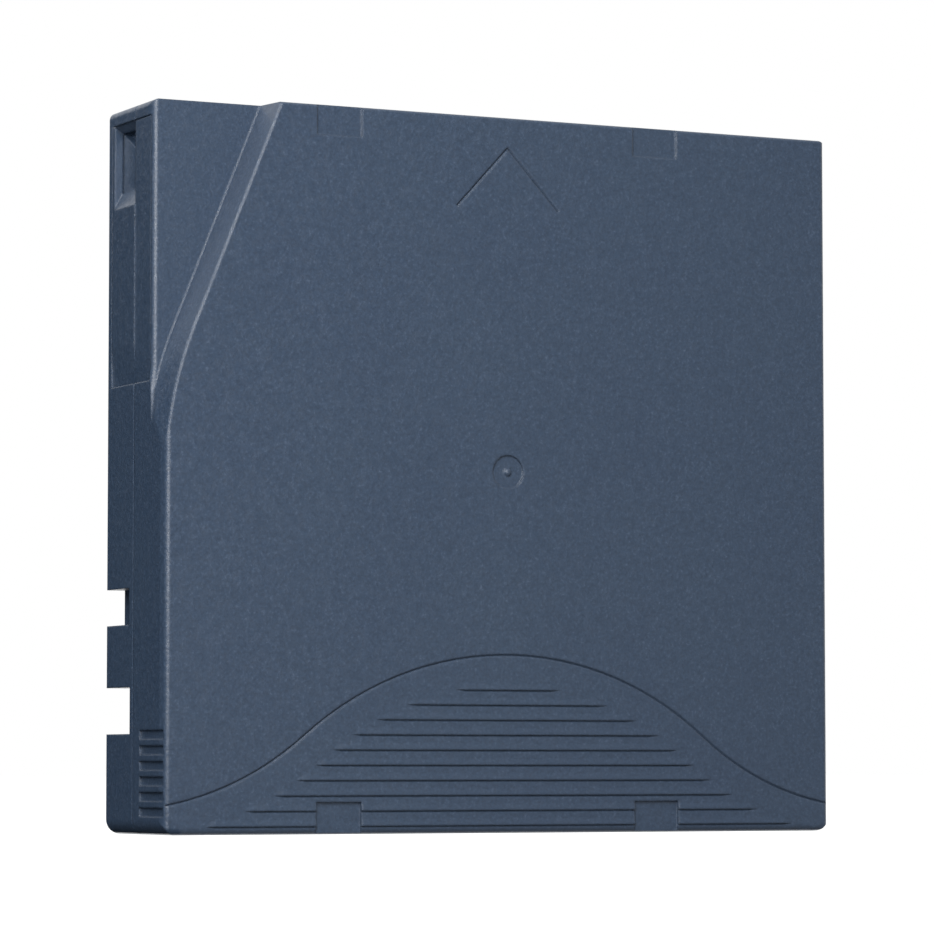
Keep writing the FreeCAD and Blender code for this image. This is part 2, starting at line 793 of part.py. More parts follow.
def make_upper_shell():
    """Upper half of the case, with the guide recess and the marks on its face."""
    skin = upper_skin()
    hollow = case_block(SIDE_WALL, PARTING_Z - 1, CEILING)
    low_roof = recess_tool([
        (RECESS_CEILING, -ROOF_T), (CASE_T + 1, -ROOF_T - RECESS_DRAFT),
    ])
    shell = skin.cut(hollow.cut(low_roof))
    bosses = [rod(r, PARTING_Z, CEILING + EPS, x, y) for x, y, r in screw_points()]
    ribs = well_ribs(CEILING - WELL_RIB_H, CEILING + EPS)
    seat = box(
        LEFT + SIDE_WALL - EPS, LEFT + SEAT_REACH,
        SPRING_SEAT_Y - SEAT_T, SPRING_SEAT_Y,
        PARTING_Z + 0.5, CEILING + EPS,
    )
    post = rod(
        CLIP_BEND_R - CLIP_WIRE_R - CLIP_MOUTH, RECESS_CEILING - CLIP_POST_H, RECESS_CEILING + EPS,
        PIN_X + CLIP_LEN, PIN_Y,
    )
    shell = fused([shell, seat, post] + bosses + ribs + brake_post())
    cuts = door_way()
    for x, y, _ in screw_points():
        cuts.append(rod(SCREW_R + SCREW_GAP, PARTING_Z - 1, SCREW_TOP + 0.5, x, y))
    cuts.append(peg_slot(PEG_U, PEG_FRONT_Y, RECESS_CEILING - EPS, DOOR_Z1 + PEG_H + DOOR_GAP))
    return shell.cut(cuts)


def door_outline(inset):
    """Plan of the door: flush with the case, then slanted to slip behind the wall."""
    lead = (DOOR_LIP + DOOR_GAP - inset) / DOOR_SLOPE
    tail_y = DOOR_Y0 - DOOR_TAIL
    tail_u = DOOR_LIP + DOOR_GAP + (DOOR_REAR_Y - tail_y) * DOOR_SLOPE
    return [
        (LEFT + inset, DOOR_Y1),
        (LEFT + inset, DOOR_REAR_Y + lead),
        (LEFT + tail_u, tail_y),
        (LEFT + DOOR_INNER, tail_y),
        (LEFT + DOOR_INNER, DOOR_Y1),
    ]


def door_pocket():
    """Pocket that the drive's finger enters: ramp, floor, hood and back wall.

    Under the hood the back wall gives way to a deeper nook with a slanted foot.
    """
    y0 = DOOR_Y1 - POCKET_LEN
    z0 = DOOR_Z0 + POCKET_FLOOR_T
    back = LEFT + POCKET_DEPTH
    under = DOOR_Y1 - HOOD_FALL
    room = prism(
        [
            (LEFT - 1, y0 - POCKET_RAMP / POCKET_DEPTH),
            (back, y0 + POCKET_RAMP),
            (back, under),
            (LEFT, DOOR_Y1),
            (LEFT, DOOR_Y1 + EPS),
            (LEFT - 1, DOOR_Y1 + EPS),
        ],
        z0, DOOR_STEP_Z,
    )
    foot = under - NOOK_SLOPE * (DOOR_STEP_Z - z0)
    nook = bar(
        [(under, z0), (under, DOOR_STEP_Z), (foot, DOOR_STEP_Z)],
        back - EPS, back + NOOK_DEPTH,
    )
    return [room, nook]


def crease_cut():
    """Facet that sinks the lower corner of the pocket's back wall."""
    y0 = DOOR_Y1 - POCKET_LEN + POCKET_RAMP
    z0 = DOOR_Z0 + POCKET_FLOOR_T
    x = LEFT + POCKET_DEPTH
    rise = (DOOR_STEP_Z - z0) * NOOK_SLOPE
    low = vec(x + CREASE_DEPTH, y0 - 0.6, DOOR_STEP_Z)
    a = vec(x - EPS, y0 + CREASE_UP, z0)
    b = vec(x - EPS, y0 + CREASE_UP + rise, DOOR_STEP_Z)
    c = vec(x - EPS, y0 - 0.6, DOOR_STEP_Z)
    faces = [
        Part.Face(Part.makePolygon([a, b, c, a])),
        Part.Face(Part.makePolygon([a, b, low, a])),
        Part.Face(Part.makePolygon([b, c, low, b])),
        Part.Face(Part.makePolygon([a, c, low, a])),
    ]
    solid = Part.Solid(Part.Shell(faces))
    if solid.Volume < 0:
        solid.reverse()
    return solid


def make_sliding_door():
    """Door at the front left corner, with guide pegs and the drive's pocket."""
    low = prism(door_outline(0), DOOR_Z0, DOOR_STEP_Z)
    high = prism(door_outline(DOOR_STEP), DOOR_STEP_Z, DOOR_Z1)
    pegs = [
        rod(PEG_R, DOOR_Z0 - PEG_H, DOOR_Z0 + EPS, LEFT + PEG_U, y)
        for y in (PEG_TAIL_Y, PEG_FRONT_Y)
    ]
    pegs.append(rod(PEG_R, DOOR_Z1 - EPS, DOOR_Z1 + PEG_H, LEFT + PEG_U, PEG_FRONT_Y))
    door = fused([low, high] + pegs)
    x = LEFT + POCKET_DEPTH
    slot = box(
        x - EPS, x + POCKET_SLOT_W,
        DOOR_Y1 - POCKET_LEN + POCKET_RAMP, DOOR_Y1 - HOOD_FALL,
        DOOR_Z0 + POCKET_FLOOR_T - POCKET_SLOT_DEPTH, DOOR_Z0 + POCKET_FLOOR_T + 0.3,
    )
    return door.cut(door_pocket() + [slot, crease_cut()])


def half_turn(r, wire_r, pitch, place):
    """Half ring, tilted so that it rises half a pitch from end to end."""
    rise = pitch / 4
    reach = math.hypot(r, rise)
    tilt = math.degrees(math.atan2(rise, r))
    if place % 2:
        tilt = -tilt
    wire = Part.makeTorus(reach, wire_r, vec(0, 0, 0), vec(0, 0, 1), 0, 360, 180)
    wire.rotate(vec(0, 0, 0), vec(0, 0, 1), 180 * place)
    wire.rotate(vec(0, 0, 0), vec(0, 1, 0), tilt)
    wire.translate(vec(0, 0, wire_r + rise + pitch / 2 * place))
    return wire


def coil(r, wire_r, length, turns):
    """Round wire wound in smoothly joined half turns, standing on z = 0."""
    pitch = (length - 2 * wire_r) / turns
    halves = [half_turn(r, wire_r, pitch, place) for place in range(2 * turns)]
    return halves[0].fuse(halves[1:]).Solids[0]


def make_door_spring():
    """Long coil spring between the door's tail and its seat in the upper shell."""
    tail_y = DOOR_Y0 - DOOR_TAIL
    lean = math.atan(DOOR_SLOPE)
    wall_u = DOOR_LIP + (DOOR_REAR_Y - tail_y) * DOOR_SLOPE
    u = wall_u + DOOR_COIL_R + DOOR_WIRE_R + DOOR_GAP
    length = (tail_y - SPRING_SEAT_Y - 2 * EPS) / math.cos(lean) - 0.2
    spring = coil(DOOR_COIL_R, DOOR_WIRE_R, length, DOOR_TURNS)
    spring.rotate(vec(0, 0, 0), vec(1, 0, 0), 90)
    spring.rotate(vec(0, 0, 0), vec(0, 0, 1), math.degrees(lean))
    spring.translate(vec(LEFT + u, tail_y - 0.1, SPRING_Z))
    return spring


def tooth_cutters(count, r0, r1, width, z_open, z_root):
    """Radial V prisms, as wide as width at z_open and sharp at z_root."""
    section = Part.Face(Part.makePolygon([
        vec(r0, REEL_Y - width / 2, z_open),
        vec(r0, REEL_Y + width / 2, z_open),
        vec(r0, REEL_Y, z_root),
        vec(r0, REEL_Y - width / 2, z_open),
    ]))
    wedge = section.extrude(vec(r1 - r0, 0, 0))
    return [around(wedge, i * 360 / count) for i in range(count)]


def make_reel_hub():
    """Hub, lower flange, drive teeth and brake teeth in one moulding."""
    inner = HUB_R - HUB_WALL
    body = turned([
        (0, WEB_Z0 - RIVET_H), (RIVET_R, WEB_Z0 - RIVET_H), (RIVET_R, WEB_Z0),
        (DRIVE_RING_R0, WEB_Z0), (DRIVE_RING_R0, DRIVE_RING_Z), (DRIVE_RING_R1, DRIVE_RING_Z),
        (DRIVE_RING_R1, REEL_Z), (FLANGE_R, REEL_Z), (FLANGE_R, REEL_Z + FLANGE_T),
        (HUB_R, REEL_Z + FLANGE_T), (HUB_R, TOP_FLANGE_Z), (inner, TOP_FLANGE_Z),
        (inner, WEB_Z1), (BRAKE_RING_R1, WEB_Z1), (BRAKE_RING_R1, BRAKE_TOP),
        (BRAKE_RING_R0, BRAKE_TOP), (BRAKE_RING_R0, WEB_Z1), (0, WEB_Z1),
    ])
    cuts = tooth_cutters(
        TOOTH_COUNT, DRIVE_RING_R0 - 0.2, DRIVE_RING_R1 + 0.2, DRIVE_GROOVE_W,
        DRIVE_RING_Z - EPS, DRIVE_RING_Z + DRIVE_TOOTH_H,
    )
    cuts += tooth_cutters(
        TOOTH_COUNT, BRAKE_RING_R0 - 0.2, BRAKE_RING_R1 + 0.2, BRAKE_GROOVE_W,
        BRAKE_TOP + EPS, BRAKE_TOP - BRAKE_GROOVE_DEPTH,
    )
    hole = rod(FOOT_R + FOOT_GAP, WEB_Z0 - 1, WEB_Z1 + 1, FOOT_CIRCLE_R)
    cuts += [around(hole, turn) for turn in (0, 120, 240)]
    return body.cut(cuts)


def make_upper_flange():
    """Disc on top of the hub, with a rim that centres it in the hub."""
    inner = HUB_R - HUB_WALL - RIM_GAP
    return turned([
        (UPPER_FLANGE_BORE_R, TOP_FLANGE_Z), (inner - FLANGE_RIM_T, TOP_FLANGE_Z),
        (inner - FLANGE_RIM_T, TOP_FLANGE_Z - FLANGE_RIM_H), (inner, TOP_FLANGE_Z - FLANGE_RIM_H),
        (inner, TOP_FLANGE_Z), (FLANGE_R, TOP_FLANGE_Z), (FLANGE_R, TOP_FLANGE_Z + FLANGE_T),
        (UPPER_FLANGE_BORE_R, TOP_FLANGE_Z + FLANGE_T),
    ])


def make_tape_pack():
    """The wound tape."""
    return ring(HUB_R + TAPE_GAP, PACK_R, PACK_Z0, PACK_Z1)


def make_clutch_plate():
    """Steel plate under the hub that a magnet in the drive holds."""
    return ring(PLATE_HOLE_R, PLATE_R, WEB_Z0 - PLATE_T, WEB_Z0)


def make_release_pad():
    """Three-footed pad: its feet pass the hub and its dome lifts the brake."""
    z0 = WEB_Z1 + PAD_GAP
    z1 = z0 + PAD_T
    half = PAD_ARM_W / 2
    arm = fused([
        box(0, FOOT_CIRCLE_R, REEL_Y - half, REEL_Y + half, z0, z1),
        rod(FOOT_R, FOOT_TIP_Z, z1, FOOT_CIRCLE_R),
    ])
    dome = turned([
        (0, z0), (DOME_R, z0), (DOME_R, z1 + DOME_H * 0.7), (DOME_R * 0.6, z1 + DOME_H),
        (0, z1 + DOME_H),
    ])
    return fused([rod(PAD_DISC_R, z0, z1), dome] + [around(arm, turn) for turn in (0, 120, 240)])


def make_brake_button():
    """Brake: a ring of teeth on a plate, with a square socket for the case's post."""
    z_root = BRAKE_TOP + MESH_GAP
    z_tip = z_root - TOOTH_H
    body = turned([
        (0, BUTTON_Z), (BUTTON_R0, BUTTON_Z), (BUTTON_R0, z_root), (BUTTON_R1, z_root),
        (BUTTON_R1, BUTTON_TOP), (SOCKET_R, BUTTON_TOP), (SOCKET_R, BUTTON_TOP + SOCKET_H),
        (0, BUTTON_TOP + SOCKET_H),
    ])
    section = Part.Face(Part.makePolygon([
        vec(BUTTON_R0, REEL_Y - TOOTH_ROOT_W / 2, z_root + EPS),
        vec(BUTTON_R0, REEL_Y + TOOTH_ROOT_W / 2, z_root + EPS),
        vec(BUTTON_R0, REEL_Y + TOOTH_TIP_W / 2, z_tip),
        vec(BUTTON_R0, REEL_Y - TOOTH_TIP_W / 2, z_tip),
        vec(BUTTON_R0, REEL_Y - TOOTH_ROOT_W / 2, z_root + EPS),
    ]))
    # each tooth ends a little inside the round edge of the plate
    tooth = section.extrude(vec(BUTTON_R1 - BUTTON_R0 - 0.05, 0, 0))
    tooth.translate(vec(0.02, 0, 0))
    teeth = [around(tooth, i * 360 / TOOTH_COUNT) for i in range(TOOTH_COUNT)]
    half = POST_W / 2 + POST_GAP
    socket = box(-half, half, REEL_Y - half, REEL_Y + half, BUTTON_TOP, CASE_T)
    return body.fuse(teeth).cut(socket)


def make_brake_spring():
    """Coil spring between the brake and the upper shell."""
    spring = coil(BRAKE_COIL_R, BRAKE_WIRE_R, CEILING - BUTTON_TOP - 2 * EPS, BRAKE_TURNS)
    spring.translate(vec(0, REEL_Y, BUTTON_TOP + EPS))
    return spring


def pin_turned(points):
    """Solid of revolution about the leader pin's axis."""
    return turned(points, PIN_X, PIN_Y)


def make_leader_pin():
    """Steel pin with a head at each end."""
    z0 = FLOOR_T + PIN_END_GAP
    z1 = RECESS_CEILING - PIN_END_GAP
    bevel = 0.2
    return pin_turned([
        (0, z0), (PIN_HEAD_R - bevel, z0), (PIN_HEAD_R, z0 + bevel), (PIN_HEAD_R, z0 + PIN_HEAD_T),
        (PIN_CORE_R, z0 + PIN_HEAD_T), (PIN_CORE_R, z1 - PIN_HEAD_T), (PIN_HEAD_R, z1 - PIN_HEAD_T),
        (PIN_HEAD_R, z1 - bevel), (PIN_HEAD_R - bevel, z1), (0, z1),
    ])


def leader_line():
    """Plan points of the free tape: where it leaves the pack and where it meets the pin."""
    dx = PIN_X
    dy = PIN_Y - REEL_Y
    distance = math.hypot(dx, dy)
    outer = PACK_R + LEADER_MEET
    inner = PIN_CORE_R + CLAMP_GAP / 2
    towards = math.atan2(dy, dx)
    turn = math.acos((outer - inner) / distance)
    at = towards - turn
    normal = (math.cos(at), math.sin(at))
    start = (outer * normal[0], REEL_Y + outer * normal[1])
    end = (PIN_X + inner * normal[0], PIN_Y + inner * normal[1])
    return start, end, normal


def make_leader_clamp():
    """Plastic sleeve, open along one side, that clamps the tape round the pin."""
    z0 = PACK_Z0 + 0.1
    z1 = PACK_Z1 - 0.1
    sleeve = ring(PIN_CORE_R + CLAMP_GAP, CLAMP_R, z0, z1, PIN_X, PIN_Y)
    start, end, _ = leader_line()
    lean = math.degrees(math.atan2(start[1] - end[1], start[0] - end[0]))
    mouth = box(0, 4, -TAPE_T - 0.15, TAPE_T + 0.25, z0 - 1, z1 + 1)
    mouth.rotate(vec(0, 0, 0), vec(0, 0, 1), lean)
    mouth.translate(vec(end[0], end[1], 0))
    return sleeve.cut(mouth)


def make_leader_tape():
    """Free end of the tape: one straight run from the pack into the clamp, thinner at the pin."""
    start, end, normal = leader_line()
    t = TAPE_T / 2
    points = [
        (start[0], start[1]),
        (start[0] + normal[0] * TAPE_T, start[1] + normal[1] * TAPE_T),
        (end[0] + normal[0] * t, end[1] + normal[1] * t),
        (end[0] - normal[0] * t / 2, end[1] - normal[1] * t / 2),
    ]
    return prism(points, PACK_Z0, PACK_Z1)


def pin_clip(z):
    """Hairpin of spring wire whose legs hold a head of the leader pin."""
    gap = PIN_HEAD_R + CLIP_WIRE_R + CLIP_MOUTH
    tip_x = PIN_X - PIN_HEAD_R * 0.6
    bend_x = PIN_X + CLIP_LEN
    mid = PIN_X + CLIP_LEN * 0.5
    r = CLIP_BEND_R
    path = Part.Wire([
        Part.LineSegment(vec(tip_x, PIN_Y + gap, z), vec(mid, PIN_Y + gap, z)).toShape(),
        Part.LineSegment(vec(mid, PIN_Y + gap, z), vec(bend_x, PIN_Y + r, z)).toShape(),
        Part.Arc(
            vec(bend_x, PIN_Y + r, z), vec(bend_x + r, PIN_Y, z), vec(bend_x, PIN_Y - r, z),
        ).toShape(),
        Part.LineSegment(vec(bend_x, PIN_Y - r, z), vec(mid, PIN_Y - gap, z)).toShape(),
        Part.LineSegment(vec(mid, PIN_Y - gap, z), vec(tip_x, PIN_Y - gap, z)).toShape(),
    ])
    section = Part.Wire([Part.makeCircle(CLIP_WIRE_R, vec(tip_x, PIN_Y + gap, z), vec(1, 0, 0))])
    return path.makePipeShell([section], True, False, 2)


def make_lower_pin_clip():
    """Wire spring on the floor of the case."""
    return pin_clip(FLOOR_T + CLIP_WIRE_R + 0.02)


def make_upper_pin_clip():
    """Wire spring under the roof of the guide recess."""
    return pin_clip(RECESS_CEILING - CLIP_WIRE_R - 0.02)


def make_write_protect_tab():
    """Sliding tab behind the rear wall, with a finger nub in the window."""
    y0 = SIDE_WALL + TAB_GAP
    x0 = WINDOW_X0 + 0.2
    body = box(
        x0 - 1.5, x0 - 1.5 + TAB_LEN, y0, y0 + TAB_DEPTH, FLOOR_T + TAB_GAP, WINDOW_Z1 + 0.8,
    )
    nub = box(
        x0, x0 + TAB_NUB_LEN, TAB_NUB_SINK, y0 + EPS, WINDOW_Z0 + TAB_GAP, WINDOW_Z1 - TAB_GAP,
    )
    middle = x0 + TAB_NUB_LEN / 2
    grip = [
        box(middle + i - 0.2, middle + i + 0.2, 0, TAB_NUB_SINK + 0.3, WINDOW_Z0, WINDOW_Z1)
        for i in (-1.2, 0, 1.2)
    ]
    return fused([body, nub]).cut(grip)


def make_memory_board():
    """Small circuit board that stands in its cradle."""
    half = BOARD_LEN / 2
    return in_corner(box(-BOARD_T / 2, BOARD_T / 2, -half, half, FLOOR_T, FLOOR_T + BOARD_H))


def make_memory_chip():
    """Chip on the inner side of the memory board."""
    middle = FLOOR_T + BOARD_H - CHIP_H / 2 - 0.7
    chip = box(
        -BOARD_T / 2 - CHIP_T, -BOARD_T / 2,
        -CHIP_LEN / 2, CHIP_LEN / 2,
        middle - CHIP_H / 2, middle + CHIP_H / 2,
    )
    return in_corner(chip)


def make_case_screws():
    """The four screws that close the case, heads in the lower face."""
    screws = []
    slot_w = 0.5
    for x, y, _ in screw_points():
        head_top = SCREW_SINK + SCREW_HEAD_T
        screw = fused([
            rod(SCREW_HEAD_R, SCREW_SINK, head_top, x, y),
            rod(SCREW_R, head_top - EPS, SCREW_TOP, x, y),
        ])
        across = box(x - 1.2, x + 1.2, y - slot_w / 2, y + slot_w / 2, 0, SCREW_SINK + 0.6)
        screws.append(screw.cut([across, around(across, 90, x, y)]))
    return Part.makeCompound(screws)


PIECES = {
    "upper_shell": make_upper_shell,
    "lower_shell": make_lower_shell,
    "sliding_door": make_sliding_door,
    "door_spring": make_door_spring,
    "leader_pin": make_leader_pin,
    "leader_clamp": make_leader_clamp,
    "leader_tape": make_leader_tape,
    "lower_pin_clip": make_lower_pin_clip,
    "upper_pin_clip": make_upper_pin_clip,
    "reel_hub": make_reel_hub,
    "upper_flange": make_upper_flange,
    "tape_pack": make_tape_pack,
    "clutch_plate": make_clutch_plate,
    "release_pad": make_release_pad,
    "brake_button": make_brake_button,
    "brake_spring": make_brake_spring,
    "write_protect_tab": make_write_protect_tab,
    "memory_board": make_memory_board,
    "memory_chip": make_memory_chip,
    "case_screws": make_case_screws,
}


def stand_up(shape):
    """Turn a piece from lying flat to standing on the label edge."""
    shape.rotate(vec(0, 0, 0), vec(1, 0, 0), 90)
    shape.translate(vec(0, (CASE_T + RIB_PROUD) / 2, 0))
    return shape


def main():
    """Build, stand up and write every piece."""
    os.makedirs("parts", exist_ok=True)
    for name, make in PIECES.items():
        shape = stand_up(make())
        shape.exportStep("parts/" + name + ".step")
        b = shape.BoundBox
        print(
            name, len(shape.Solids), "solid(s), volume", round(shape.Volume, 1), shape.isValid(),
            [round(v, 2) for v in (b.XMin, b.XMax, b.YMin, b.YMax, b.ZMin, b.ZMax)],
        )


main()
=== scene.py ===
"""Looks of a half-inch data tape cartridge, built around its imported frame.

Each sub-assembly is a class that builds its own meshes and dresses its own
nodes. Sizes are in metres unless a name ends in _mm.
"""

import logging
import math
from dataclasses import dataclass, field
from enum import Enum
from typing import Any, Iterable, Sequence

import bpy
import numpy as np
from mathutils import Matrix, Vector


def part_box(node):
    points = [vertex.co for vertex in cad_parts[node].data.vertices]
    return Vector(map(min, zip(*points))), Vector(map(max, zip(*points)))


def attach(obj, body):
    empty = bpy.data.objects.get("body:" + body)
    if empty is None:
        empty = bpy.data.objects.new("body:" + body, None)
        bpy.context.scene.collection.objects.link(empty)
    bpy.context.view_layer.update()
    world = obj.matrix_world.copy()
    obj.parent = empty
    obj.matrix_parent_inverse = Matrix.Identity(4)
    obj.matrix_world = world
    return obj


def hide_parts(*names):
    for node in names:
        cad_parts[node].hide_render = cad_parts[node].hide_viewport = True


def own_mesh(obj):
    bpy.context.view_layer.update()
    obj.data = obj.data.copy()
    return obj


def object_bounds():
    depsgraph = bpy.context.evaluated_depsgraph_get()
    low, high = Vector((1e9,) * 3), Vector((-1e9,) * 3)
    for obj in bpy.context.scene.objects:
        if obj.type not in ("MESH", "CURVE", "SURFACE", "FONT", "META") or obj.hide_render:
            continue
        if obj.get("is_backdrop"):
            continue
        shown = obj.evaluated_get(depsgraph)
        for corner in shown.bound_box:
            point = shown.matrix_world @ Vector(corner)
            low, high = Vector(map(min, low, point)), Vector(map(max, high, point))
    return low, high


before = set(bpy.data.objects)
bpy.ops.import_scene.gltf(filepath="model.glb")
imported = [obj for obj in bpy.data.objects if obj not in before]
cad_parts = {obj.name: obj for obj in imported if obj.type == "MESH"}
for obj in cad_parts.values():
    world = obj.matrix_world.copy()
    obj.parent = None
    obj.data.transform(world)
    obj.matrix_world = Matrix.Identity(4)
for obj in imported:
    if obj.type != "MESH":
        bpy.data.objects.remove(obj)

log = logging.getLogger("cartridge")
MM = 0.001
FULL_TURN = 2.0 * math.pi


class Body(Enum):
    """Rigid bodies of the frame that a piece can ride on."""

    CASE = "case"
    DOOR = "door"
    REEL = "reel"
    PAD = "pad"
    BRAKE = "brake"
    TAB = "tab"


NOISE_BAND = {"From Min": 0.3, "From Max": 0.7}


class Winding(Enum):
    """Row axis that a coil is wound about."""

    ALONG_Y = 1
    ALONG_Z = 2


# ---------------------------------------------------------------- colours


def linear(code: str) -> tuple[float, float, float, float]:
    """Turns an sRGB hex value into linear colour.

    Args:
        code: Hex value such as "#3C4A5E".

    Returns:
        Linear red, green, blue and an alpha of one.
    """
    parts = np.array([int(code[i:i + 2], 16) for i in (1, 3, 5)]) / 255.0
    low = parts / 12.92
    high = ((parts + 0.055) / 1.055) ** 2.4
    red, green, blue = np.where(parts <= 0.04045, low, high)
    return (float(red), float(green), float(blue), 1.0)


# ---------------------------------------------------------------- nodes


def add_node(
    tree: bpy.types.NodeTree,
    kind: str,
    values: dict[Any, Any] | None = None,
    links: dict[Any, bpy.types.NodeSocket] | None = None,
    **settings: Any,
) -> bpy.types.Node:
    """Adds one shader node with its settings, its values and its links.

    Args:
        tree: Node tree to add to.
        kind: Blender's name of the node type.
        values: Input socket to the value that it holds.
        links: Input socket to the output socket that feeds it.
        settings: Properties of the node itself.

    Returns:
        The new node.
    """
    node = tree.nodes.new(kind)
    for name, value in settings.items():
        setattr(node, name, value)
    for socket, value in (values or {}).items():
        node.inputs[socket].default_value = value
    for socket, source in (links or {}).items():
        tree.links.new(source, node.inputs[socket])
    return node


def per_metre(size_mm: float) -> float:
    """Gives the scale at which a pattern repeats every size_mm."""
    return 1.0 / (size_mm * MM)


def new_material(name: str) -> tuple[bpy.types.Material, bpy.types.NodeTree]:
    """Makes an empty node material with its output node.

    Args:
        name: Name of the material.

    Returns:
        The material and its node tree.
    """
    material = bpy.data.materials.new(name)
    material.use_nodes = True
    tree = material.node_tree
    tree.nodes.clear()
    tree.nodes.new("ShaderNodeOutputMaterial")
    return material, tree


def close_material(tree: bpy.types.NodeTree, shader: bpy.types.Node) -> None:
    """Links a finished shader to the tree's output."""
    output = tree.nodes["Material Output"]
    tree.links.new(shader.outputs[0], output.inputs["Surface"])


# ---------------------------------------------------------------- finishes


@dataclass(frozen=True)
class SparkErodedShell:
    """Polycarbonate blend moulded in a spark-eroded tool.

    The eye sees a dark slate blue with a fine even grain, matte from small
    pits, and a brighter line where a rounded edge faces the lamp. Lighter
    specks painted into the colour stand in for the grain's glints.
    """

    name: str = "moulded_slate_polycarbonate"
    body: str = "#37475B"
    shade: str = "#324258"
    # colour of the painted glints: lighter specks in the base colour
    painted_glint: str = "#566479"
    grain_mm: float = 0.40
    pit_mm: float = 1.10
    flow_mm: float = 24.0
    relief_mm: float = 0.09
    edge_mm: float = 0.42
    grain_share: float = 0.45
    contrast: float = 0.18
    glint_from: float = 0.62
    glint_to: float = 0.80
    glint_share: float = 0.55
    roughness: float = 0.36
    ior: float = 1.57
    gloss_level: float = 0.58

    def make(self) -> bpy.types.Material:
        """Builds the material.

        Returns:
            The finished material.
        """
        material, tree = new_material(self.name)
        where = add_node(tree, "ShaderNodeTexCoord").outputs["Object"]
        grain = add_node(
            tree, "ShaderNodeTexNoise",
            {"Scale": per_metre(self.grain_mm), "Detail": 2.0, "Roughness": 0.6},
            {"Vector": where},
        )
        pits = add_node(
            tree, "ShaderNodeTexNoise",
            {"Scale": per_metre(self.pit_mm), "Detail": 1.0, "Roughness": 0.5},
            {"Vector": where},
        )
        flow = add_node(
            tree, "ShaderNodeTexNoise",
            {"Scale": per_metre(self.flow_mm), "Detail": 2.0, "Roughness": 0.45},
            {"Vector": where},
        )
        tone = add_node(
            tree, "ShaderNodeMix",
            {"A": linear(self.body), "B": linear(self.shade)},
            {"Factor": flow.outputs["Fac"]},
            data_type="RGBA",
        )
        # painted glints: where the grain noise is high, the base colour turns to a lighter
        # speck that stands in for the grain's sparkle
        glint = add_node(
            tree, "ShaderNodeMapRange",
            {"From Min": self.glint_from, "From Max": self.glint_to, "To Min": 0.0,
             "To Max": self.glint_share},
            {"Value": grain.outputs["Fac"]},
        )
        speckle = add_node(
            tree, "ShaderNodeMapRange",
            {**NOISE_BAND, "To Min": 1.0 - self.contrast,
             "To Max": 1.0 + self.contrast},
            {"Value": grain.outputs["Fac"]},
        )
        grainy = add_node(
            tree, "ShaderNodeVectorMath", {},
            {0: tone.outputs["Result"], "Scale": speckle.outputs["Result"]},
            operation="SCALE",
        )
        with_painted_glints = add_node(
            tree, "ShaderNodeMix",
            {"B": linear(self.painted_glint)},
            {"Factor": glint.outputs["Result"], "A": grainy.outputs["Vector"]},
            data_type="RGBA",
        )
        relief = add_node(
            tree, "ShaderNodeMath",
            {2: self.grain_share},
            {0: pits.outputs["Fac"], 1: grain.outputs["Fac"]},
            operation="MULTIPLY_ADD",
        )
        worn = add_node(
            tree, "ShaderNodeBevel", {"Radius": self.edge_mm * MM}, samples=4
        )
        bump = add_node(
            tree, "ShaderNodeBump",
            {"Strength": 1.0, "Distance": self.relief_mm * MM},
            {"Height": relief.outputs["Value"], "Normal": worn.outputs["Normal"]},
        )
        gloss = add_node(
            tree, "ShaderNodeMapRange",
            {**NOISE_BAND, "To Min": self.roughness - 0.06,
             "To Max": self.roughness + 0.08},
            {"Value": pits.outputs["Fac"]},
        )
        shader = add_node(
            tree, "ShaderNodeBsdfPrincipled",
            {"IOR": self.ior, "Specular IOR Level": self.gloss_level},
            {"Base Color": with_painted_glints.outputs["Result"], "Roughness": gloss.outputs["Result"],
             "Normal": bump.outputs["Normal"]},
        )
        close_material(tree, shader)
        return material


@dataclass(frozen=True)
class SatinMoulding:
    """A small injection moulding from a polished or lightly textured tool.

    The eye sees one colour with faint flow clouds and a soft sheen.
    """

    name: str
    body: str
    shade: str
    ior: float = 1.50
    roughness: float = 0.38
    translucency: float = 0.0
    cloud_mm: float = 4.0
    grain_mm: float = 0.20
    relief_mm: float = 0.004

    def make(self) -> bpy.types.Material:
        """Builds the material.

        Returns:
            The finished material.
        """
        material, tree = new_material(self.name)
        where = add_node(tree, "ShaderNodeTexCoord").outputs["Object"]
        cloud = add_node(
            tree, "ShaderNodeTexNoise",
            {"Scale": per_metre(self.cloud_mm), "Detail": 2.0},
            {"Vector": where},
        )
        grain = add_node(
            tree, "ShaderNodeTexNoise",
            {"Scale": per_metre(self.grain_mm), "Detail": 2.0},
            {"Vector": where},
        )
        tone = add_node(
            tree, "ShaderNodeMix",
            {"A": linear(self.body), "B": linear(self.shade)},
            {"Factor": cloud.outputs["Fac"]},
            data_type="RGBA",
        )
        bump = add_node(
            tree, "ShaderNodeBump",
            {"Strength": 0.5, "Distance": self.relief_mm * MM},
            {"Height": grain.outputs["Fac"]},
        )
        gloss = add_node(
            tree, "ShaderNodeMapRange",
            {**NOISE_BAND, "To Min": self.roughness - 0.05,
             "To Max": self.roughness + 0.07},
            {"Value": cloud.outputs["Fac"]},
        )
        shader = add_node(
            tree, "ShaderNodeBsdfPrincipled",
            {"IOR": self.ior, "Subsurface Weight": self.translucency,
             "Subsurface Radius": (0.6, 0.6, 0.5), "Subsurface Scale": MM},
            {"Base Color": tone.outputs["Result"], "Roughness": gloss.outputs["Result"],
             "Normal": bump.outputs["Normal"]},
        )
        close_material(tree, shader)
        return material


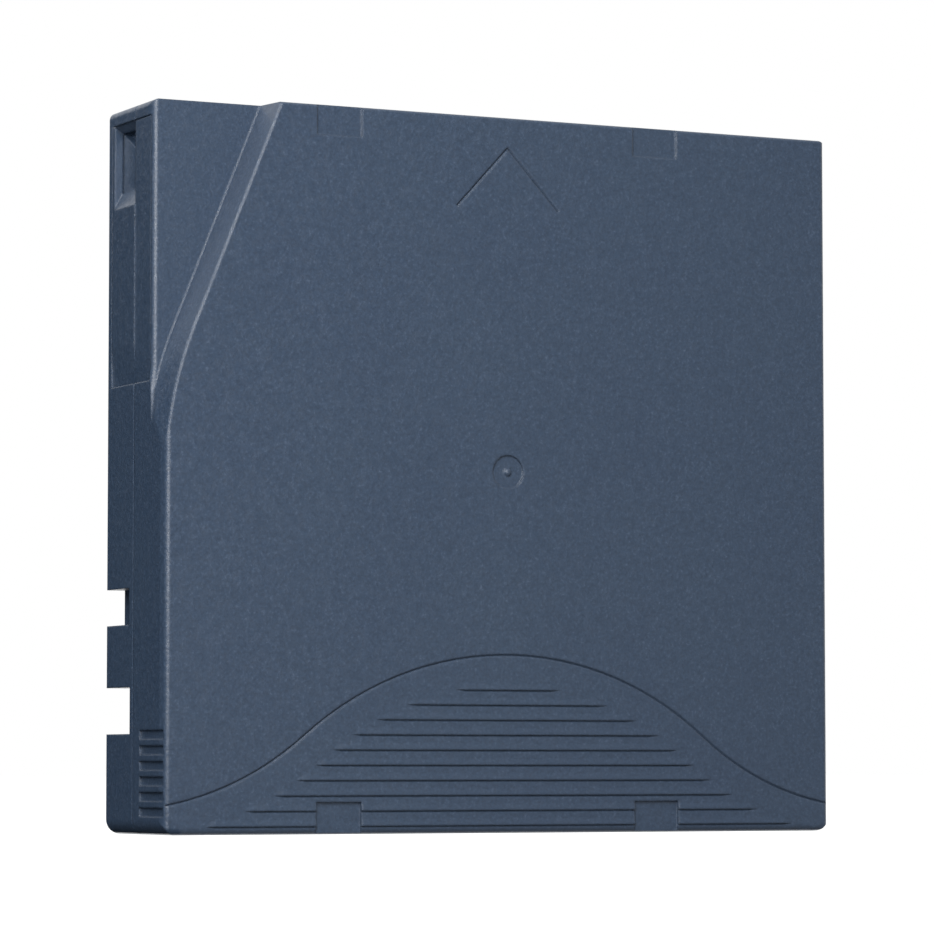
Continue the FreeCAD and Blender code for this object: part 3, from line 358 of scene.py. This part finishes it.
@dataclass(frozen=True)
class WorkedSteel:
    """Steel with the marks that its making leaves.

    Turned, drawn or stamped, it shows close parallel scratches along one
    direction that stretch its highlights across them.
    """

    name: str
    body: str
    roughness: float
    scratch_mm: float
    stretch: tuple[float, float, float]
    relief_mm: float = 0.003

    def make(self) -> bpy.types.Material:
        """Builds the material.

        Returns:
            The finished material.
        """
        material, tree = new_material(self.name)
        where = add_node(tree, "ShaderNodeTexCoord").outputs["Object"]
        drawn = add_node(
            tree, "ShaderNodeMapping",
            {"Scale": self.stretch},
            {"Vector": where},
        )
        lines = add_node(
            tree, "ShaderNodeTexNoise",
            {"Scale": per_metre(self.scratch_mm), "Detail": 3.0, "Roughness": 0.6},
            {"Vector": drawn.outputs["Vector"]},
        )
        tint = add_node(
            tree, "ShaderNodeMapRange",
            {**NOISE_BAND, "To Min": 0.86, "To Max": 1.0},
            {"Value": lines.outputs["Fac"]},
        )
        metal = add_node(
            tree, "ShaderNodeMix",
            {"A": (0.0, 0.0, 0.0, 1.0), "B": linear(self.body)},
            {"Factor": tint.outputs["Result"]},
            data_type="RGBA",
        )
        gloss = add_node(
            tree, "ShaderNodeMapRange",
            {**NOISE_BAND, "To Min": self.roughness * 0.8,
             "To Max": self.roughness * 1.25},
            {"Value": lines.outputs["Fac"]},
        )
        bump = add_node(
            tree, "ShaderNodeBump",
            {"Strength": 0.35, "Distance": self.relief_mm * MM},
            {"Height": lines.outputs["Fac"]},
        )
        shader = add_node(
            tree, "ShaderNodeBsdfPrincipled",
            {"Metallic": 1.0},
            {"Base Color": metal.outputs["Result"], "Roughness": gloss.outputs["Result"],
             "Normal": bump.outputs["Normal"]},
        )
        close_material(tree, shader)
        return material


@dataclass(frozen=True)
class WoundFilm:
    """Coated polyester film seen on the edge of its pack, or flat.

    The edge of a pack is a stack of layers a hundredth of a millimetre
    thick, drawn here as coarse rings so that they show. The eye sees a dark
    brown disc with a satin sheen that runs round it.
    """

    name: str = "wound_coated_polyester"
    body: str = "#2B2320"
    shade: str = "#1E1917"
    ring_mm: float = 0.55
    relief_mm: float = 0.010
    roughness: float = 0.34

    def make(self, centre: Vector) -> bpy.types.Material:
        """Builds the material.

        Args:
            centre: A point of the pack's axis, which the rings go round.

        Returns:
            The finished material.
        """
        material, tree = new_material(self.name)
        where = add_node(tree, "ShaderNodeTexCoord").outputs["Object"]
        centred = add_node(
            tree, "ShaderNodeMapping",
            {"Location": (-centre.x, 0.0, -centre.z), "Scale": (1.0, 0.0, 1.0)},
            {"Vector": where},
        )
        radius = add_node(
            tree, "ShaderNodeVectorMath",
            links={0: centred.outputs["Vector"]},
            operation="LENGTH",
        )
        layers = add_node(
            tree, "ShaderNodeTexNoise",
            {"Scale": per_metre(self.ring_mm), "Detail": 4.0, "Roughness": 0.7},
            {"W": radius.outputs["Value"]},
            noise_dimensions="1D",
        )
        tone = add_node(
            tree, "ShaderNodeMix",
            {"A": linear(self.shade), "B": linear(self.body)},
            {"Factor": layers.outputs["Fac"]},
            data_type="RGBA",
        )
        bump = add_node(
            tree, "ShaderNodeBump",
            {"Strength": 0.6, "Distance": self.relief_mm * MM},
            {"Height": layers.outputs["Fac"]},
        )
        shader = add_node(
            tree, "ShaderNodeBsdfPrincipled",
            {"IOR": 1.64, "Roughness": self.roughness},
            {"Base Color": tone.outputs["Result"], "Normal": bump.outputs["Normal"]},
        )
        close_material(tree, shader)
        return material


# ---------------------------------------------------------------- surfaces


def outward(points: np.ndarray, faces: np.ndarray) -> np.ndarray:
    """Turns a closed surface's quads so that they face outwards.

    Args:
        points: Vertices, one row each.
        faces: Quads, one row of four vertex numbers each.

    Returns:
        The quads, turned over if they enclosed a negative volume.
    """
    a, b, c, d = (points[faces[:, i]] for i in range(4))
    first = np.einsum("ij,ij->i", a, np.cross(b, c))
    second = np.einsum("ij,ij->i", a, np.cross(c, d))
    return faces if (first + second).sum() > 0 else faces[:, ::-1]


def grid_faces(rows: int, columns: int, rows_meet: bool, columns_meet: bool) -> np.ndarray:
    """Numbers the quads between the points of a grid.

    Args:
        rows: Points along the first parameter.
        columns: Points along the second parameter.
        rows_meet: Whether the last row joins the first.
        columns_meet: Whether the last column joins the first.

    Returns:
        Quads, one row of four vertex numbers each.
    """
    i = np.arange(rows if rows_meet else rows - 1)[:, None]
    j = np.arange(columns if columns_meet else columns - 1)[None, :]
    below = (i + 1) % rows
    beside = (j + 1) % columns
    corners = [
        i * columns + j, below * columns + j,
        below * columns + beside, i * columns + beside,
    ]
    return np.stack([np.broadcast_to(c, (i.size, j.size)).ravel() for c in corners], axis=1)


def surface(
    name: str,
    grid: np.ndarray,
    rows_meet: bool,
    columns_meet: bool,
    material: bpy.types.Material,
    caps: bool = False,
) -> bpy.types.Object:
    """Puts a grid of points into a smooth mesh object.

    Args:
        name: Name of the object and its mesh.
        grid: Points as an array of rows, columns and three coordinates.
        rows_meet: Whether the last row joins the first.
        columns_meet: Whether the last column joins the first.
        material: Material of the whole piece.
        caps: Whether the first and last rows are closed with a flat face.

    Returns:
        The object, at the origin.
    """
    rows, columns = grid.shape[:2]
    points = grid.reshape(-1, 3)
    faces = outward(points, grid_faces(rows, columns, rows_meet, columns_meet))
    polygons: list[Any] = faces.tolist()
    if caps:
        turned = faces[0, 1] < faces[0, 3]
        first = list(range(columns))
        last = list(range((rows - 1) * columns, rows * columns))
        polygons += [first[::-1] if turned else first, last if turned else last[::-1]]
    mesh = bpy.data.meshes.new(name)
    mesh.from_pydata(points.tolist(), [], polygons)
    mesh.polygons.foreach_set("use_smooth", np.ones(len(polygons), dtype=bool))
    mesh.materials.append(material)
    mesh.validate()
    piece = bpy.data.objects.new(name, mesh)
    bpy.context.scene.collection.objects.link(piece)
    return piece


def report(piece: bpy.types.Object) -> None:
    """Logs a finished piece and its number of faces."""
    log.info("%s: %d faces", piece.name, len(piece.data.polygons))


def dress(node: str, material: bpy.types.Material) -> None:
    """Gives a node of the frame its material."""
    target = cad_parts[node]
    target.data.materials.clear()
    target.data.materials.append(material)
    log.info("%s: dressed in %s", node, material.name)


# ---------------------------------------------------------------- case


@dataclass
class CaseMouldings:
    """The two case halves and the door, all from one plastic."""

    finish: SparkErodedShell = field(default_factory=SparkErodedShell)
    nodes: tuple[str, ...] = ("upper_shell", "lower_shell", "sliding_door")

    def dress(self) -> None:
        """Gives the mouldings their grained plastic."""
        plastic = self.finish.make()
        for node in self.nodes:
            dress(node, plastic)


@dataclass
class CaseScrews:
    """The four screws that close the case."""

    finish: WorkedSteel = WorkedSteel(
        "zinc_plated_screw_steel", "#8E8F92", 0.30, 0.25, (1.0, 1.0, 0.25)
    )

    def dress(self) -> None:
        """Gives the screws their zinc."""
        dress("case_screws", self.finish.make())


# ---------------------------------------------------------------- springs


@dataclass
class CoilSpring:
    """A compression spring of round wire with closed ends."""

    node: str
    turns: int
    wire_d: float
    winding: Winding
    joint: str
    keep: float
    dead_turns: float = 1.2
    steps_per_turn: int = 32
    sides: int = 10
    finish: WorkedSteel = WorkedSteel(
        "drawn_spring_wire", "#9A9B9E", 0.22, 0.12, (1.0, 0.3, 0.3)
    )

    def rise(self, turn: np.ndarray, length: float) -> np.ndarray:
        """Height of the wire's line: dead turns lie wire on wire at each end,
        and the live turns between them rise along a smooth ramp.

        Args:
            turn: Turns from the first end.
            length: Distance between the lines of the first and last turns.

        Returns:
            Height above the first turn.
        """
        dead = self.dead_turns
        live = self.turns - 2 * dead
        flat = self.wire_d * 1.02
        ramp = length - 2 * dead * flat
        share = np.clip((turn - dead) / live, 0.0, 1.0)
        low = np.clip(turn, 0.0, dead) * flat
        high = np.clip(turn - dead - live, 0.0, dead) * flat
        return low + ramp * share + high

    def build(self) -> bpy.types.Object:
        """Carries a circle along the wire's helix.

        The helix is a circle whose height is rise(); each ring of the tube
        lies across it, in the directions away from the axis and along it.

        Returns:
            The spring, which stands for its node.
        """
        low, high = (np.array(corner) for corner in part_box(self.node))
        along = np.eye(3)[self.winding.value]
        out_x = np.eye(3)[0]
        out_z = np.cross(along, out_x)
        middle = (low + high) / 2
        wire_r = self.wire_d / 2
        coil_r = (high[0] - low[0]) / 2 - wire_r
        base = middle + along * (low - middle)[self.winding.value] + along * wire_r
        length = (high - low)[self.winding.value] - self.wire_d
        turn = np.linspace(0.0, self.turns, self.turns * self.steps_per_turn + 1)
        angle = turn[:, None] * FULL_TURN
        away = np.cos(angle) * out_x + np.sin(angle) * out_z
        height = self.rise(turn, length)[:, None]
        line = base + away * coil_r + along * height
        round_wire = np.linspace(0.0, FULL_TURN, self.sides, endpoint=False)
        across = (
            np.cos(round_wire)[None, :, None] * away[:, None, :]
            + np.sin(round_wire)[None, :, None] * along
        )
        grid = line[:, None, :] + across * wire_r
        piece = surface(self.node + "_wire", grid, False, True, self.finish.make(), caps=True)
        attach(piece, Body.CASE.value)
        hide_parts(self.node)
        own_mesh(piece)
        report(piece)
        return piece


# ---------------------------------------------------------------- tape


@dataclass
class TapePath:
    """The wound pack, the leader and the parts that hold its end."""

    hub_r: float = 22.0 * MM
    layer_rows: int = 70
    spokes: int = 160
    scatter: float = 0.03 * MM
    seed: int = 7
    film: WoundFilm = field(default_factory=WoundFilm)
    pin: WorkedSteel = WorkedSteel(
        "turned_stainless_pin", "#C4C4C2", 0.16, 0.10, (0.2, 1.0, 0.2)
    )
    wire: WorkedSteel = WorkedSteel(
        "drawn_clip_wire", "#A2A3A6", 0.22, 0.12, (1.0, 0.3, 0.3)
    )
    sleeve: SatinMoulding = SatinMoulding(
        "natural_acetal_sleeve", "#DEDCD3", "#D2CFC4", ior=1.48, translucency=0.2
    )

    def pack_profile(self, inner: float, outer: float, low: float, high: float) -> np.ndarray:
        """Section of the pack: a rectangle whose two long sides waver.

        Each long side is a run of layer edges, every one a few hundredths
        of a millimetre in or out of line with its neighbours.

        Args:
            inner: Radius of the hub.
            outer: Radius of the last layer.
            low: Lower edge of the tape along the axis.
            high: Upper edge of the tape along the axis.

        Returns:
            Radius and height of each point round the closed section.
        """
        chance = np.random.default_rng(self.seed)
        radii = np.linspace(inner, outer, self.layer_rows)
        lower = low + chance.uniform(0.0, self.scatter, self.layer_rows)
        upper = high - chance.uniform(0.0, self.scatter, self.layer_rows)
        going = np.stack([radii, lower], axis=1)
        coming = np.stack([radii, upper], axis=1)[::-1]
        return np.concatenate([going, coming])

    def build_pack(self) -> bpy.types.Object:
        """Turns the pack's section about the reel's axis.

        Returns:
            The pack, which stands for its node.
        """
        low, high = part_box("tape_pack")
        centre = (low + high) / 2
        outer = (high.x - low.x) / 2
        section = self.pack_profile(self.hub_r + 0.05 * MM, outer, low.y, high.y)
        angle = np.linspace(0.0, FULL_TURN, self.spokes, endpoint=False)[:, None]
        radius = section[None, :, 0]
        grid = np.stack([
            centre.x + radius * np.cos(angle),
            np.broadcast_to(section[None, :, 1], (self.spokes, len(section))),
            centre.z + radius * np.sin(angle),
        ], axis=2)
        piece = surface("tape_windings", grid, True, True, self.film.make(centre))
        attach(piece, Body.REEL.value)
        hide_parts("tape_pack")
        report(piece)
        return piece

    def dress(self) -> None:
        """Gives the leader, its pin, clamp and clips their finishes."""
        low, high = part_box("tape_pack")
        flat = WoundFilm("flat_coated_polyester", roughness=0.25)
        dress("leader_tape", flat.make((low + high) / 2))
        dress("leader_pin", self.pin.make())
        dress("leader_clamp", self.sleeve.make())
        clip = self.wire.make()
        dress("lower_pin_clip", clip)
        dress("upper_pin_clip", clip)


# ---------------------------------------------------------------- reel


@dataclass
class ReelAndBrake:
    """Hub, flange, clutch plate, release pad and brake."""

    hub: SatinMoulding = SatinMoulding(
        "moulded_black_hub_plastic", "#2F3033", "#28292C", ior=1.57
    )
    flange: SatinMoulding = SatinMoulding(
        "moulded_grey_flange_plastic", "#3C3D41", "#35363A", ior=1.57
    )
    plate: WorkedSteel = WorkedSteel(
        "nickel_plated_clutch_steel", "#A9AAAC", 0.30, 0.30, (1.0, 1.0, 0.15)
    )
    pad: SatinMoulding = SatinMoulding(
        "natural_acetal_pad", "#E2DFD4", "#D6D2C5", ior=1.48, translucency=0.2
    )
    brake: SatinMoulding = SatinMoulding(
        "natural_acetal_brake", "#DCD8CA", "#CFCBBC", ior=1.48, translucency=0.2
    )

    def dress(self) -> None:
        """Gives the reel's and the brake's parts their finishes."""
        dress("reel_hub", self.hub.make())
        dress("upper_flange", self.flange.make())
        dress("clutch_plate", self.plate.make())
        dress("release_pad", self.pad.make())
        dress("brake_button", self.brake.make())


# ---------------------------------------------------------------- small parts


@dataclass
class WriteProtectTab:
    """Coloured sliding tab behind the window in the label edge."""

    finish: SatinMoulding = SatinMoulding(
        "moulded_red_tab_plastic", "#A8221C", "#991D18", ior=1.53
    )

    def dress(self) -> None:
        """Gives the tab its red plastic."""
        dress("write_protect_tab", self.finish.make())


@dataclass
class MemoryTag:
    """Contactless memory: a small laminate board, its chip and its aerial."""

    board: SatinMoulding = SatinMoulding(
        "solder_masked_laminate", "#1F5A36", "#1A4E2F", ior=1.52, roughness=0.30
    )
    chip: SatinMoulding = SatinMoulding(
        "moulded_chip_resin", "#1B1B1D", "#161618", ior=1.55, roughness=0.55
    )

    def dress(self) -> None:
        """Gives the board and the chip their finishes."""
        dress("memory_board", self.board.make())
        dress("memory_chip", self.chip.make())


# ---------------------------------------------------------------- studio


@dataclass
class SoftBox:
    """A square, even lamp."""

    name: str
    place: tuple[float, float, float]
    width: float
    height: float
    watts: float
    tint: str = "#FFFFFF"

    def build(self, target: Vector) -> None:
        """Hangs the lamp and turns it to the target.

        Args:
            target: Point that the lamp's middle faces.
        """
        lamp = bpy.data.lights.new(self.name, "AREA")
        lamp.shape = "RECTANGLE"
        lamp.size = self.width
        lamp.size_y = self.height
        lamp.energy = self.watts
        lamp.color = linear(self.tint)[:3]
        holder = bpy.data.objects.new(self.name, lamp)
        holder.location = self.place
        aim = target - holder.location
        holder.rotation_euler = aim.to_track_quat("-Z", "Y").to_euler()
        bpy.context.scene.collection.objects.link(holder)


@dataclass
class Flag:
    """A card that only reflections see.

    It keeps the white surroundings out of the sheen of the wall that it
    faces, and neither shades the table nor shows itself.
    """

    name: str
    corners: tuple[tuple[float, float, float], ...]
    cloth: str = "#0A0A0A"

    def build(self) -> None:
        """Hangs the card: one quad between its corners."""
        mesh = bpy.data.meshes.new(self.name)
        mesh.from_pydata(list(self.corners), [], [(0, 1, 2, 3)])
        material, tree = new_material(f"{self.name}_card")
        felt = add_node(tree, "ShaderNodeBsdfDiffuse", {"Color": linear(self.cloth)})
        close_material(tree, felt)
        mesh.materials.append(material)
        card = bpy.data.objects.new(self.name, mesh)
        card.visible_camera = False
        card.visible_diffuse = False
        card.visible_shadow = False
        card.visible_transmission = False
        bpy.context.scene.collection.objects.link(card)
        card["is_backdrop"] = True


CARD_LEVEL = 0.0002


@dataclass
class Studio:
    """White table, pale surroundings, lamps, cards and the camera.

    The table's card is a mid grey that looks white through its lift, so it
    keeps the shadow and throws little light back under the cartridge.
    """

    eye: tuple[float, float, float] = (-0.2801, -0.56521, 0.00914)
    turn_deg: tuple[float, float, float] = (93.926, 0.016, -26.262)
    lens_mm: float = 168.27
    table_half: float = 4.0
    table_level: float = -0.00005
    table_lift: float = 0.97
    card: str = "#9A9A9A"
    surround: float = 0.38
    lamps: tuple[SoftBox, ...] = (
        SoftBox("key_softbox", (-0.26, -0.40, 0.29), 0.16, 0.46, 3.10),
        SoftBox("side_softbox", (-0.45, 0.10, 0.32), 0.16, 0.16, 0.40),
    )
    flags: tuple[Flag, ...] = (
        Flag("side_flag", (
            (-0.30, -0.12, 0.0), (0.0, 0.90, 0.0), (0.0, 0.90, 0.20), (-0.30, -0.12, 0.20),
        )),
        Flag("table_flag", (
            (-0.30, -0.12, CARD_LEVEL), (-0.05, -0.12, CARD_LEVEL), (-0.05, 0.70, CARD_LEVEL),
            (0.0, 0.90, CARD_LEVEL),
        )),
        Flag("front_flag", (
            (-0.05, -0.75, 0.0), (0.90, -0.35, 0.0), (0.90, -0.35, 0.70), (-0.05, -0.75, 0.70),
        ), "#E0E0E0"),
        Flag("front_table_flag", (
            (-0.05, -0.75, CARD_LEVEL), (0.90, -0.75, CARD_LEVEL), (0.90, -0.01, CARD_LEVEL),
            (-0.05, -0.01, CARD_LEVEL),
        ), "#B0B0B0"),
    )

    def build_camera(self) -> None:
        """Places the camera on its long lens."""
        camera = bpy.data.cameras.new("view_camera")
        camera.lens = self.lens_mm
        camera.sensor_width = 36.0
        camera.sensor_fit = "AUTO"
        camera.clip_start = 0.01
        camera.clip_end = 20.0
        holder = bpy.data.objects.new("view_camera", camera)
        holder.location = self.eye
        holder.rotation_euler = [math.radians(angle) for angle in self.turn_deg]
        bpy.context.scene.collection.objects.link(holder)
        bpy.context.scene.camera = holder

    def seen_directly(self, tree: bpy.types.NodeTree) -> bpy.types.NodeSocket:
        """Tells rays that show the surroundings from rays that light things.

        Args:
            tree: Node tree to work in.

        Returns:
            One for camera, glossy and transmitted rays, and zero otherwise.
        """
        path = add_node(tree, "ShaderNodeLightPath")
        straight = add_node(
            tree, "ShaderNodeMath",
            links={0: path.outputs["Is Camera Ray"], 1: path.outputs["Is Transmission Ray"]},
            operation="MAXIMUM",
        )
        mirrored = add_node(
            tree, "ShaderNodeMath",
            links={0: straight.outputs["Value"], 1: path.outputs["Is Glossy Ray"]},
            operation="MAXIMUM",
        )
        return mirrored.outputs["Value"]

    def build_surround(self) -> None:
        """Makes an even pale sky that the camera sees as white."""
        world = bpy.data.worlds.new("pale_surround")
        world.use_nodes = True
        tree = world.node_tree
        tree.nodes.clear()
        output = add_node(tree, "ShaderNodeOutputWorld")
        strength = add_node(
            tree, "ShaderNodeMapRange",
            {"To Min": self.surround, "To Max": 1.0},
            {"Value": self.seen_directly(tree)},
        )
        sky = add_node(
            tree, "ShaderNodeBackground",
            {"Color": (1.0, 1.0, 1.0, 1.0)},
            {"Strength": strength.outputs["Result"]},
        )
        tree.links.new(sky.outputs[0], output.inputs["Surface"])
        bpy.context.scene.world = world

    def build_table(self) -> None:
        """Makes the matte white table, which keeps the cartridge's shadow."""
        half = self.table_half
        mesh = bpy.data.meshes.new("table")
        corners = [(-half, -half), (half, -half), (half, half), (-half, half)]
        mesh.from_pydata([(x, y, self.table_level) for x, y in corners], [], [(0, 1, 2, 3)])
        material, tree = new_material("matte_table_card")
        card = add_node(
            tree, "ShaderNodeBsdfDiffuse", {"Color": linear(self.card)}
        )
        lift = add_node(
            tree, "ShaderNodeMath",
            {1: self.table_lift},
            {0: self.seen_directly(tree)},
            operation="MULTIPLY",
        )
        glow = add_node(
            tree, "ShaderNodeEmission",
            {"Color": (1.0, 1.0, 1.0, 1.0)},
            {"Strength": lift.outputs["Value"]},
        )
        both = add_node(
            tree, "ShaderNodeAddShader",
            links={0: card.outputs[0], 1: glow.outputs[0]},
        )
        close_material(tree, both)
        mesh.materials.append(material)
        table = bpy.data.objects.new("table", mesh)
        bpy.context.scene.collection.objects.link(table)
        table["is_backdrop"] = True

    def build(self, target: Vector) -> None:
        """Builds the whole studio.

        Args:
            target: Middle of the cartridge.
        """
        bpy.context.scene.view_settings.view_transform = "Standard"
        self.build_camera()
        self.build_surround()
        self.build_table()
        for lamp in self.lamps:
            lamp.build(target)
        for flag in self.flags:
            flag.build()


# ---------------------------------------------------------------- main


def as_lists(corners: Iterable[Sequence[float]]) -> list[list[float]]:
    """Turns a box's two corners into plain lists of numbers."""
    return [[float(value) for value in corner] for corner in corners]


def main() -> None:
    """Builds the studio and every sub-assembly."""
    logging.basicConfig(level=logging.INFO, format="%(name)s %(message)s")
    cad_box = as_lists(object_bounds())
    low, high = (Vector(corner) for corner in cad_box)
    Studio().build((low + high) / 2)
    CaseMouldings().dress()
    CaseScrews().dress()
    CoilSpring("door_spring", 20, 0.34 * MM, Winding.ALONG_Z, "door_slide", 0.36).build()
    CoilSpring("brake_spring", 5, 0.80 * MM, Winding.ALONG_Y, "brake_lift", 0.84).build()
    tape = TapePath()
    tape.build_pack()
    tape.dress()
    ReelAndBrake().dress()
    WriteProtectTab().dress()
    MemoryTag().dress()


if __name__ == "__main__":
    main()
